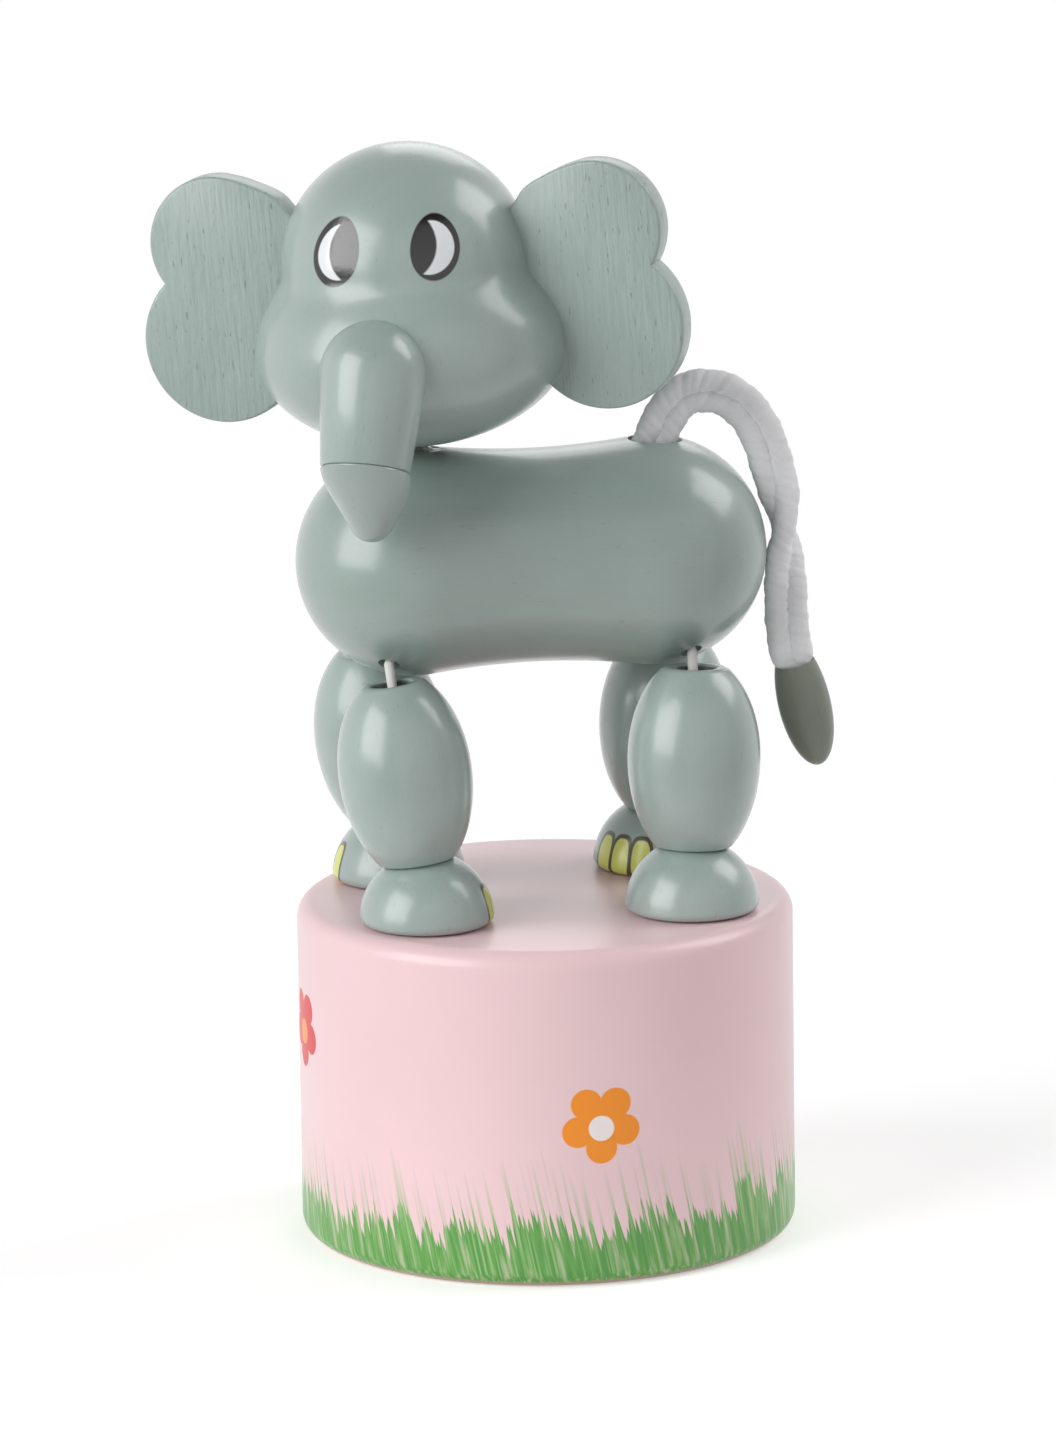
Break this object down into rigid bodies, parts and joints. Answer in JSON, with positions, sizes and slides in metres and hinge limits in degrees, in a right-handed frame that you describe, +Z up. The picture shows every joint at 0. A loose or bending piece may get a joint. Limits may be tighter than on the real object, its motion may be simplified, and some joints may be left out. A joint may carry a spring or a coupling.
{
  "type": "push puppet",
  "caption": "Wooden push puppet: a painted elephant of beads strung over a round hollow drum, which collapses and stands up again as a sprung thumb button is pressed and let go.",
  "frame": {"origin": "centre of the drum's underside, on the surface that the puppet stands on", "axes": "+Z up along the drum's axis; the elephant's body points to -X with its tail at +X, and its left side is -Y"},
  "size_m": [0.0677, 0.05, 0.1114],
  "materials": {
    "drum_paint": "gloss pink paint with painted flowers and grass",
    "body_paint": "satin grey-green paint",
    "tail_paint": "satin dark grey-green paint",
    "plain_wood": "plain sanded beech",
    "spring_steel": "drawn steel wire",
    "string": "white braided string",
    "tail_cord": "white twisted cotton cord"
  },
  "bodies": {
    "base": {"base_drum": "drum_paint", "return_spring": "spring_steel"},
    "button": {"push_button": "plain_wood", "front_left_lower_string": "string", "front_right_lower_string": "string", "rear_left_lower_string": "string", "rear_right_lower_string": "string"},
    "front_left_foot": {"front_left_foot": "body_paint"},
    "front_left_link": {"front_left_leg_string": "string"},
    "front_left_leg": {"front_left_leg": "body_paint"},
    "front_right_foot": {"front_right_foot": "body_paint"},
    "front_right_link": {"front_right_leg_string": "string"},
    "front_right_leg": {"front_right_leg": "body_paint"},
    "rear_left_foot": {"rear_left_foot": "body_paint"},
    "rear_left_link": {"rear_left_leg_string": "string"},
    "rear_left_leg": {"rear_left_leg": "body_paint"},
    "rear_right_foot": {"rear_right_foot": "body_paint"},
    "rear_right_link": {"rear_right_leg_string": "string"},
    "rear_right_leg": {"rear_right_leg": "body_paint"},
    "torso": {"torso": "body_paint", "front_left_torso_string": "string", "front_right_torso_string": "string", "rear_left_torso_string": "string", "rear_right_torso_string": "string"},
    "neck": {"neck_string": "string"},
    "head": {"head": "body_paint", "head_plug": "plain_wood", "left_ear": "body_paint", "right_ear": "body_paint", "trunk_upper": "body_paint", "trunk_tip": "body_paint", "trunk_dowel": "plain_wood"},
    "tail": {"tail_strand_a": "tail_cord", "tail_strand_b": "tail_cord", "tail_bead": "tail_paint"}
  },
  "joints": [
    {"name": "button_press", "type": "slide", "parent": "base", "child": "button", "axis": [0, 0, 1], "range_m": [0, 0.008], "stiffness_N_per_m": 400, "springref_m": -0.005, "deforming": ["return_spring", "front_left_lower_string", "front_right_lower_string", "rear_left_lower_string", "rear_right_lower_string", "front_left_leg_string", "front_right_leg_string", "rear_left_leg_string", "rear_right_leg_string", "front_left_torso_string", "front_right_torso_string", "rear_left_torso_string", "rear_right_torso_string"]},
    {"name": "front_left_foot_spin", "type": "hinge", "parent": "base", "child": "front_left_foot", "pos_m": [-0.01342, -0.00961, 0.03475], "axis": [0, 0, 1], "continuous": true},
    {"name": "front_left_leg_lean", "type": "hinge", "parent": "base", "child": "front_left_link", "pos_m": [-0.01342, -0.00961, 0.03475], "axis": [0, -1, 0], "range_deg": [0, 40]},
    {"name": "front_left_leg_spin", "type": "hinge", "parent": "front_left_link", "child": "front_left_leg", "pos_m": [-0.01342, -0.00961, 0.03475], "axis": [-0.1216, 0.0698, 0.9901], "continuous": true},
    {"name": "front_right_foot_spin", "type": "hinge", "parent": "base", "child": "front_right_foot", "pos_m": [-0.01342, 0.00961, 0.03475], "axis": [0, 0, 1], "continuous": true},
    {"name": "front_right_leg_lean", "type": "hinge", "parent": "base", "child": "front_right_link", "pos_m": [-0.01342, 0.00961, 0.03475], "axis": [0, -1, 0], "range_deg": [0, 40]},
    {"name": "front_right_leg_spin", "type": "hinge", "parent": "front_right_link", "child": "front_right_leg", "pos_m": [-0.01342, 0.00961, 0.03475], "axis": [-0.1216, -0.0698, 0.9901], "continuous": true},
    {"name": "rear_left_foot_spin", "type": "hinge", "parent": "base", "child": "rear_left_foot", "pos_m": [0.01342, -0.00961, 0.03475], "axis": [0, 0, 1], "continuous": true},
    {"name": "rear_left_leg_lean", "type": "hinge", "parent": "base", "child": "rear_left_link", "pos_m": [0.01342, -0.00961, 0.03475], "axis": [0, -1, 0], "range_deg": [0, 37.48]},
    {"name": "rear_left_leg_spin", "type": "hinge", "parent": "rear_left_link", "child": "rear_left_leg", "pos_m": [0.01342, -0.00961, 0.03475], "axis": [0.0348, 0.0698, 0.997], "continuous": true},
    {"name": "rear_right_foot_spin", "type": "hinge", "parent": "base", "child": "rear_right_foot", "pos_m": [0.01342, 0.00961, 0.03475], "axis": [0, 0, 1], "continuous": true},
    {"name": "rear_right_leg_lean", "type": "hinge", "parent": "base", "child": "rear_right_link", "pos_m": [0.01342, 0.00961, 0.03475], "axis": [0, -1, 0], "range_deg": [0, 37.48]},
    {"name": "rear_right_leg_spin", "type": "hinge", "parent": "rear_right_link", "child": "rear_right_leg", "pos_m": [0.01342, 0.00961, 0.03475], "axis": [0.0348, -0.0698, 0.997], "continuous": true},
    {"name": "torso_level", "type": "hinge", "parent": "front_left_link", "child": "torso", "pos_m": [-0.01585, -0.00821, 0.0546], "axis": [0, -1, 0], "range_deg": [-35.2, 0]},
    {"name": "head_nod", "type": "hinge", "parent": "torso", "child": "neck", "pos_m": [-0.01159, 0, 0.08071], "axis": [0.8988, -0.4384, 0], "range_deg": [0, 4]},
    {"name": "head_turn", "type": "hinge", "parent": "neck", "child": "head", "pos_m": [-0.01159, 0, 0.08111], "axis": [-0.0705, 0.0344, 0.9969], "range_deg": [-148, 20]},
    {"name": "tail_swing", "type": "hinge", "parent": "torso", "child": "tail", "pos_m": [0.01195, 0, 0.08079], "axis": [0, 0, 1], "range_deg": [-20, 20]}
  ],
  "couplings": [
    {"joint": "front_left_leg_lean", "follows": "button_press", "rad_per_m": 87.266},
    {"joint": "front_right_leg_lean", "follows": "button_press", "rad_per_m": 87.266},
    {"joint": "rear_left_leg_lean", "follows": "button_press", "rad_per_m": 81.768},
    {"joint": "rear_right_leg_lean", "follows": "button_press", "rad_per_m": 81.768},
    {"joint": "torso_level", "follows": "button_press", "rad_per_m": -76.794},
    {"joint": "head_nod", "follows": "button_press", "rad_per_m": 8.7266}
  ]
}
